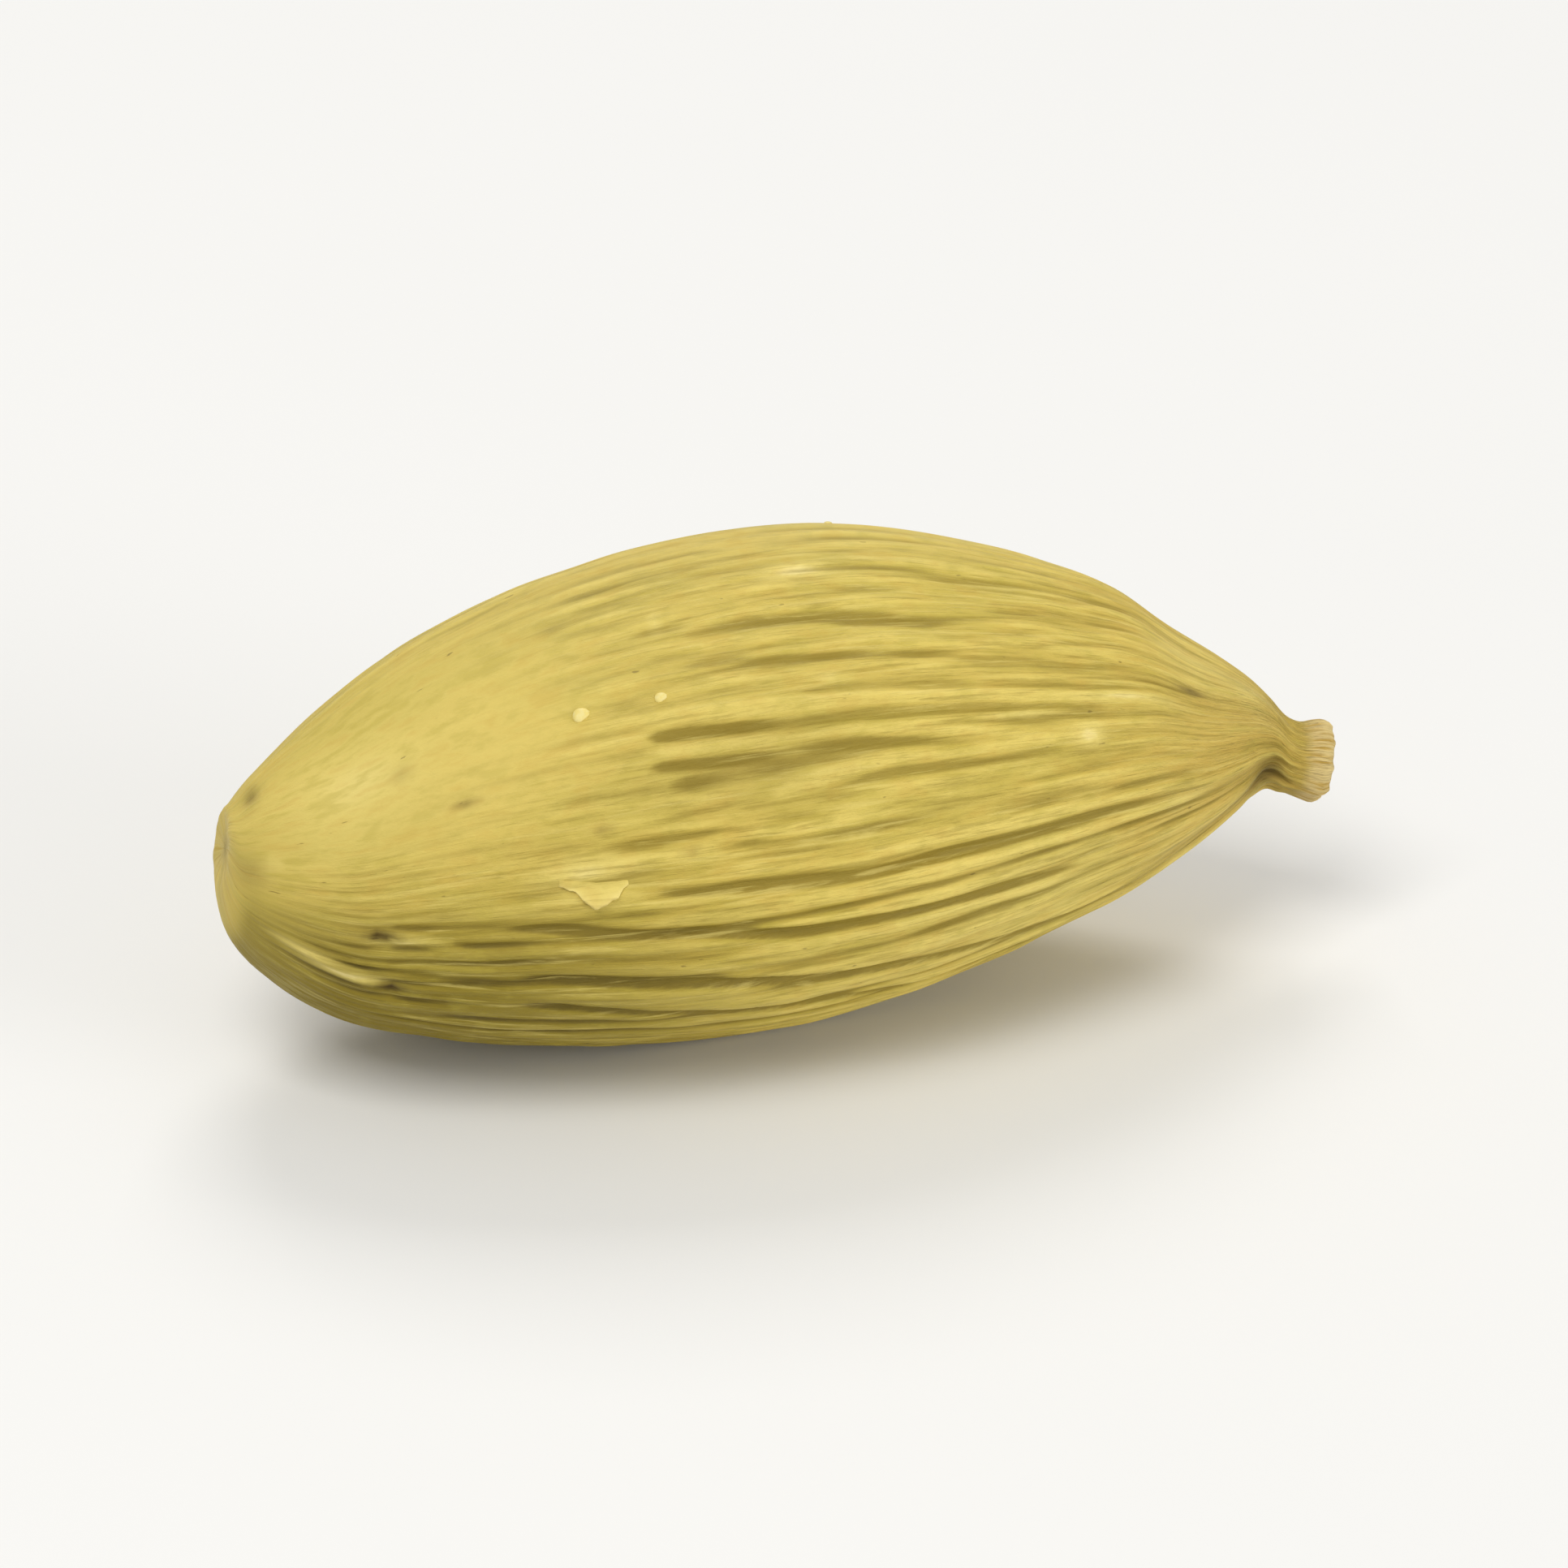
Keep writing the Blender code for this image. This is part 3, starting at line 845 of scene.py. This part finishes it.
def surface_finder(surface):
    """A function that gives the point and the outward direction at a share of the length and an angle."""
    points, along, angle = surface["points"], surface["along"], surface["angle"]
    body = np.arange(along.argmin() + 1, along.argmax())
    outwards = outward_directions(points, body)

    def at(share, degrees):
        ring = np.interp(share, along[body], body)
        low = int(ring)
        turned = angle_between(angle[low], math.radians(degrees))
        order = np.argsort(turned)
        spot = np.searchsorted(turned[order], 0.0)
        first, second = order[spot - 1], order[spot]
        part = -turned[first] / (turned[second] - turned[first])
        found = []
        for grid in (points, outwards):
            near = grid[low, first] * (1.0 - part) + grid[low, second] * part
            far = grid[low + 1, first] * (1.0 - part) + grid[low + 1, second] * part
            found.append(near + (far - near) * (ring - low))
        return found[0], found[1] / np.linalg.norm(found[1])

    return at


def make_grains(at):
    """Small waxy grains stuck on the husk, as low domes in one piece."""
    draw = np.random.default_rng(DETAIL_SEED + 1)
    grains = list(GRAINS)
    for _ in range(STREWN_GRAINS):
        grains.append((draw.uniform(*STREWN_ALONG), draw.uniform(*STREWN_ROUND), draw.uniform(*GRAIN_RADII)))
    points, faces = [], []
    for share, degrees, radius in grains:
        middle, up = at(share, degrees)
        add_dome(points, faces, middle, up, radius, draw)
    piece = new_piece("pod_grains", np.array(points), faces, wax_material())
    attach(piece, "root")


def add_dome(points, faces, middle, up, radius, draw):
    """A closed low dome of uneven outline, with its foot just under the surface."""
    side = np.cross(up, (1.0, 0.0, 0.0))
    side /= np.linalg.norm(side)
    front = np.cross(up, side)
    turns = np.arange(GRAIN_SIDES) * 2.0 * math.pi / GRAIN_SIDES
    oval = GRAIN_OVAL * np.sin(2.0 * turns + draw.uniform(*GRAIN_TURNS))
    reaches = radius * (1.0 + oval + GRAIN_CORNERS * np.sin(3.0 * turns))
    start = len(points)
    points.append(middle - up * radius * GRAIN_BASE_DEPTH)
    for level in range(GRAIN_LEVELS):
        tilt = level / GRAIN_LEVELS * math.pi / 2.0
        rim_depth = GRAIN_RIM_DEPTH * radius if level == 0 else 0.0
        height = GRAIN_HEIGHT * radius * math.sin(tilt) - rim_depth
        for turn, reach in zip(turns, reaches):
            outward = math.cos(turn) * side + math.sin(turn) * front
            points.append(middle + outward * reach * math.cos(tilt) + up * height)
    points.append(middle + up * GRAIN_HEIGHT * radius)
    faces += [tuple(start + corner for corner in face) for face in skin_faces(GRAIN_LEVELS, GRAIN_SIDES)]


def tongue(side):
    """The outline of the torn tongue, from its root's begin to its end: 0 at both, and 1 at its tip."""
    return min(side / FLAKE_TIP_SIDE, (1.0 - side) / (1.0 - FLAKE_TIP_SIDE))


def flake_reach(side, fall):
    """The share of the tongue's drop that a point hangs down by. The edge is torn, more so at the bottom."""
    torn = sum(height * math.sin(waves * side + start) for waves, start, height in FLAKE_TEARS)
    return fall * (FLAKE_SIDE_DROP + (1.0 - FLAKE_SIDE_DROP) * tongue(side) + torn * fall)


def flake_lift(side, fall):
    """How far the middle of the tongue's thickness lies off the husk. Its root and its sides lie in it."""
    sunk_root = (1.0 - min(1.0, FLAKE_COMES_OUT * fall)) ** 2
    sunk_sides = (1.0 - min(1.0, FLAKE_SIDES_COME_OUT * tongue(side))) ** 2
    return FLAKE_LIFT * flake_reach(side, fall) ** FLAKE_CURL - FLAKE_SINKS * (sunk_root + sunk_sides)


def make_flake(at, skin):
    """A thin torn tongue of husk that hangs off the soft edge. Its root lies in the husk."""
    across_steps, down_steps = FLAKE_STEPS
    (begin, from_degrees), (end, to_degrees) = FLAKE_ROOT
    tops, bottoms, places, turns, falls = [], [], [], [], []
    for down in range(down_steps + 1):
        fall = down / down_steps
        for across in range(across_steps + 1):
            side = across / across_steps
            share = begin + side * (end - begin)
            hanging = flake_reach(side, fall) * FLAKE_DROP
            degrees = from_degrees + side * (to_degrees - from_degrees) - hanging
            point, up = at(share, degrees)
            lift = flake_lift(side, fall)
            bulge = math.sin(math.pi * side) ** 0.5
            thick = FLAKE_THICKNESS * (FLAKE_SIDE_THICKNESS + (1.0 - FLAKE_SIDE_THICKNESS) * bulge)
            tops.append(point + up * (lift + thick))
            bottoms.append(point + up * (lift - FLAKE_THICKNESS))
            places.append(share * LENGTH)
            turns.append(math.radians(degrees))
            falls.append(fall)
    faces = slab_faces(across_steps + 1, down_steps + 1)
    piece = new_piece("pod_flake", np.array(tops + bottoms), faces, skin)
    set_attributes(piece, flake_values(np.tile(places, 2), np.tile(turns, 2), np.tile(falls, 2)))
    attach(piece, "root")


def flake_values(place, angle, fall):
    """The values that the husk's material reads on the torn tongue."""
    none = 0.0 * fall
    return {
        "deep": FLAKE_DEEP[0] + (FLAKE_DEEP[1] - FLAKE_DEEP[0]) * fall,
        "pale": FLAKE_PALE[0] + (FLAKE_PALE[1] - FLAKE_PALE[0]) * fall,
        "ribbed": FLAKE_RIBBED + none,
        "stain_and_shade": none,
        "cork": none,
        "under": none,
        "grain": grain_place(place, angle),
    }


def slab_faces(wide, tall):
    """Faces of a closed thin slab: an upper grid of points, then the lower one."""
    under = wide * tall
    faces = []
    for row in range(tall - 1):
        for column in range(wide - 1):
            corner = row * wide + column
            quad = (corner, corner + 1, corner + 1 + wide, corner + wide)
            faces.append(quad)
            faces.append(tuple(point + under for point in reversed(quad)))
    rim = list(range(wide))
    rim += [row * wide + wide - 1 for row in range(1, tall)]
    rim += [(tall - 1) * wide + column for column in range(wide - 2, -1, -1)]
    rim += [row * wide for row in range(tall - 2, 0, -1)]
    for here, there in zip(rim, rim[1:] + rim[:1]):
        faces.append((there, here, here + under, there + under))
    return faces


def start_material(name, specular):
    """A new material, with its node tree and its shader."""
    material = bpy.data.materials.new(name)
    material.use_nodes = True
    tree = material.node_tree
    shader = tree.nodes["Principled BSDF"]
    shader.inputs["Specular IOR Level"].default_value = specular
    return material, tree, shader


def to_linear(colour):
    """A colour as it looks, turned into the shader's own values."""
    return tuple(c / 12.92 if c <= 0.04045 else ((c + 0.055) / 1.055) ** 2.4 for c in colour) + (1.0,)


def attribute(tree, name):
    """The node that reads a stored value."""
    node = tree.nodes.new("ShaderNodeAttribute")
    node.attribute_name = name
    return node


def stretched(tree, source, scale):
    """The source's coordinates, multiplied by a scale along each axis."""
    node = tree.nodes.new("ShaderNodeMapping")
    node.inputs["Scale"].default_value = scale
    tree.links.new(source, node.inputs["Vector"])
    return node.outputs["Vector"]


def noise(tree, vector, scale, detail, roughness=0.55, distortion=0.0):
    """Noise from 0 to 1, mostly near a half."""
    node = tree.nodes.new("ShaderNodeTexNoise")
    node.inputs["Scale"].default_value = scale
    node.inputs["Detail"].default_value = detail
    node.inputs["Roughness"].default_value = roughness
    node.inputs["Distortion"].default_value = distortion
    tree.links.new(vector, node.inputs["Vector"])
    return node.outputs["Fac"]


def between(tree, value, low, high, out_low=0.0, out_high=1.0):
    """The value mapped softly from low..high to out_low..out_high, and kept inside."""
    node = tree.nodes.new("ShaderNodeMapRange")
    node.interpolation_type = "SMOOTHSTEP"
    for name, number in (("From Min", low), ("From Max", high), ("To Min", out_low), ("To Max", out_high)):
        node.inputs[name].default_value = number
    tree.links.new(value, node.inputs["Value"])
    return node.outputs["Result"]


def times(tree, first, second):
    """Two values multiplied. The second is a socket or a number."""
    node = tree.nodes.new("ShaderNodeMath")
    node.operation = "MULTIPLY"
    tree.links.new(first, node.inputs[0])
    if isinstance(second, float):
        node.inputs[1].default_value = second
    else:
        tree.links.new(second, node.inputs[1])
    return node.outputs["Value"]


def mix(tree, share, first, second):
    """Two colours mixed by a share. Each is a socket or a colour as it looks."""
    node = tree.nodes.new("ShaderNodeMix")
    node.data_type = "RGBA"
    sockets = [socket for socket in node.inputs if socket.type == "RGBA"]
    for socket, value in zip(sockets, (first, second)):
        if isinstance(value, tuple):
            socket.default_value = to_linear(value)
        else:
            tree.links.new(value, socket)
    tree.links.new(share, node.inputs[0])
    return next(socket for socket in node.outputs if socket.type == "RGBA")


def laid_over(tree, colour, layers):
    """The colour with layers over it, each a share and a colour."""
    for share, over in layers:
        colour = mix(tree, share, colour, over)
    return colour


def add_bump(tree, shader, heights):
    """Bump from (height socket, distance, strength), one on top of the other."""
    normal = None
    for height, distance, strength in heights:
        node = tree.nodes.new("ShaderNodeBump")
        node.inputs["Distance"].default_value = distance
        node.inputs["Strength"].default_value = strength
        tree.links.new(height, node.inputs["Height"])
        if normal is not None:
            tree.links.new(normal, node.inputs["Normal"])
        normal = node.outputs["Normal"]
    tree.links.new(normal, shader.inputs["Normal"])


def husk_sockets(tree):
    """What the husk's material reads: its stored values, the place along the pod and its noises."""
    grain = attribute(tree, "grain").outputs["Vector"]
    sockets = {name: attribute(tree, name).outputs["Fac"] for name in READ_VALUES}
    split = tree.nodes.new("ShaderNodeSeparateXYZ")
    tree.links.new(grain, split.inputs["Vector"])
    sockets["along"] = split.outputs["X"]
    for name, (stretch, *settings) in HUSK_NOISES.items():
        sockets[name] = noise(tree, stretched(tree, grain, stretch), *settings)
    return sockets


def ground_layers(tree, husk):
    """Green clouds, an ochre neck, painted highlights on the crests, pale streaks, painted shade on the
    underside, pale marks and painted highlights, and mottling.
    """
    above = between(tree, husk["under"], *OCHRE_ABOVE)
    return (
        (between(tree, husk["clouds"], *GREEN_CLOUDS), GREEN),
        (between(tree, husk["along"], *OCHRE_NECK), OCHRE),
        (between(tree, husk["deep"], *CREST_HIGHLIGHTS), CREST_HIGHLIGHT_AND_STREAK),
        (between(tree, husk["streaks"], *PALE_STREAKS), CREST_HIGHLIGHT_AND_STREAK),
        (times(tree, husk["under"], UNDERSIDE_SHADE_MOST), UNDERSIDE_SHADE),
        (husk["pale"], PALE),
        (between(tree, husk["pale"], *BLOOMS_AND_HIGHLIGHTS), BLOOM_AND_HIGHLIGHT),
        (times(tree, between(tree, husk["mottle"], *OCHRE_MOTTLE), above), OCHRE),
        (between(tree, husk["mottle"], *GREEN_MOTTLE), GREEN),
    )


def fibre_layers(tree, husk):
    """Painted shade in the grooves and creases, darker on the shaded underside, and dark and pale fibres
    where the husk is ribbed.
    """
    ribbed = husk["ribbed"]
    return (
        (between(tree, husk["deep"], *PAINTED_GROOVE_SHADE), mix(tree, husk["under"], GROOVE_SHADE_AND_FIBRE, UNDERSIDE_GROOVE_SHADE)),
        (times(tree, between(tree, husk["fibres"], *DARK_FIBRES), ribbed), GROOVE_SHADE_AND_FIBRE),
        (times(tree, between(tree, husk["fibres"], *PALE_FIBRES), ribbed), PALE),
        (times(tree, between(tree, husk["threads"], *DARK_THREADS), ribbed), GROOVE_SHADE_AND_FIBRE),
    )


def mark_layers(tree, husk):
    """Brown specks and stains, painted shade in the pits and the hollow under the collar, and the cork of the
    scar and the collar.
    """
    corky = mix(tree, between(tree, husk["mottle"], *CORK_MOTTLE), CORK, OCHRE)
    return (
        (between(tree, husk["specks"], *BROWN_SPECKS), STAIN_AND_SHADE),
        (times(tree, husk["stain_and_shade"], between(tree, husk["mottle"], *STAIN_AND_SHADE_MOTTLE)), STAIN_AND_SHADE),
        (times(tree, husk["cork"], CORKIEST), corky),
    )


def husk_material():
    """Dry fibrous husk: straw crests, olive grooves, fibres along the pod, a corky scar and collar."""
    material, tree, shader = start_material("husk_skin", HUSK_SPECULAR)
    husk = husk_sockets(tree)
    colour = laid_over(tree, HUSK, ground_layers(tree, husk))
    colour = laid_over(tree, colour, fibre_layers(tree, husk))
    colour = laid_over(tree, colour, mark_layers(tree, husk))
    tree.links.new(colour, shader.inputs["Base Color"])
    tree.links.new(between(tree, husk["mottle"], *HUSK_ROUGHNESS), shader.inputs["Roughness"])
    fibres = times(tree, husk["fibres"], between(tree, husk["ribbed"], 0.0, 1.0, SMOOTH_HUSK_FIBRE_BUMP))
    threads = times(tree, husk["threads"], between(tree, husk["ribbed"], 0.0, 1.0, SMOOTH_HUSK_THREAD_BUMP))
    add_bump(tree, shader, ((fibres, *FIBRE_BUMP), (threads, *THREAD_BUMP), (husk["mottle"], *MOTTLE_BUMP)))
    return material


def wax_material():
    """Whitish waxy grains."""
    material, tree, shader = start_material("husk_wax", WAX_SPECULAR)
    place = tree.nodes.new("ShaderNodeTexCoord").outputs["Object"]
    clouds = noise(tree, place, WAX_CLOUD_SCALE, PLAIN_DETAIL)
    tree.links.new(mix(tree, between(tree, clouds, *WAX_CLOUDS), WAX, PALE), shader.inputs["Base Color"])
    shader.inputs["Roughness"].default_value = WAX_ROUGHNESS
    add_bump(tree, shader, ((clouds, *WAX_BUMP),))
    return material


def floor_material():
    """Plain pale paper."""
    material, tree, shader = start_material("floor_paper", FLOOR_SPECULAR)
    place = tree.nodes.new("ShaderNodeTexCoord").outputs["Object"]
    clouds = noise(tree, place, FLOOR_CLOUD_SCALE, PLAIN_DETAIL)
    darker = tuple(channel * FLOOR_SHADE for channel in FLOOR)
    tree.links.new(mix(tree, clouds, FLOOR, darker), shader.inputs["Base Color"])
    shader.inputs["Roughness"].default_value = FLOOR_ROUGHNESS
    return material


def make_floor():
    """A wide square floor just under the pod."""
    corners = ((-1, -1), (1, -1), (1, 1), (-1, 1))
    points = np.array([(FLOOR_REACH * x, FLOOR_REACH * y, -FLOOR_DROP) for x, y in corners])
    new_piece("floor", points, [(0, 1, 2, 3)], floor_material())


def point_at(obj, target):
    """Turns a lamp or the camera towards the target."""
    obj.rotation_euler = (Vector(target) - obj.location).to_track_quat("-Z", "Y").to_euler()


def make_lights(target):
    """Three soft square lamps and an even pale world."""
    for name, (place, side, power, colour) in LIGHTS.items():
        light = bpy.data.lights.new(name, "AREA")
        light.shape = "SQUARE"
        light.size = side
        light.energy = power
        light.color = colour
        lamp = bpy.data.objects.new(name, light)
        lamp.location = place
        point_at(lamp, target)
        bpy.context.scene.collection.objects.link(lamp)
    world = bpy.data.worlds.new("studio")
    world.use_nodes = True
    background = world.node_tree.nodes["Background"]
    background.inputs["Color"].default_value = to_linear(FLOOR)
    background.inputs["Strength"].default_value = WORLD_STRENGTH
    bpy.context.scene.world = world


def make_camera(target):
    """The camera, far enough away for the pod to fill its share of the picture."""
    data = bpy.data.cameras.new("camera")
    data.lens = LENS
    data.sensor_width = SENSOR
    data.clip_start, data.clip_end = CLIPS
    camera = bpy.data.objects.new("camera", data)
    distance = SEEN_LENGTH / POD_FILLS * LENS / SENSOR
    away = Vector((math.sin(AZIMUTH), -math.cos(AZIMUTH), 0.0)) * math.cos(ELEVATION)
    away.z = math.sin(ELEVATION)
    camera.location = Vector(target) + away * distance
    point_at(camera, target)
    bpy.context.scene.collection.objects.link(camera)
    bpy.context.scene.camera = camera


pod_middle = [(low + high) / 2.0 for low, high in zip(*CAD_BOX)]
make_camera(pod_middle)
make_lights(pod_middle)
make_floor()
husk = husk_surface()
skin = husk_material()
make_husk(husk, skin)
find = surface_finder(husk)
make_grains(find)
make_flake(find, skin)
bpy.context.scene.view_settings.view_transform = "Standard"
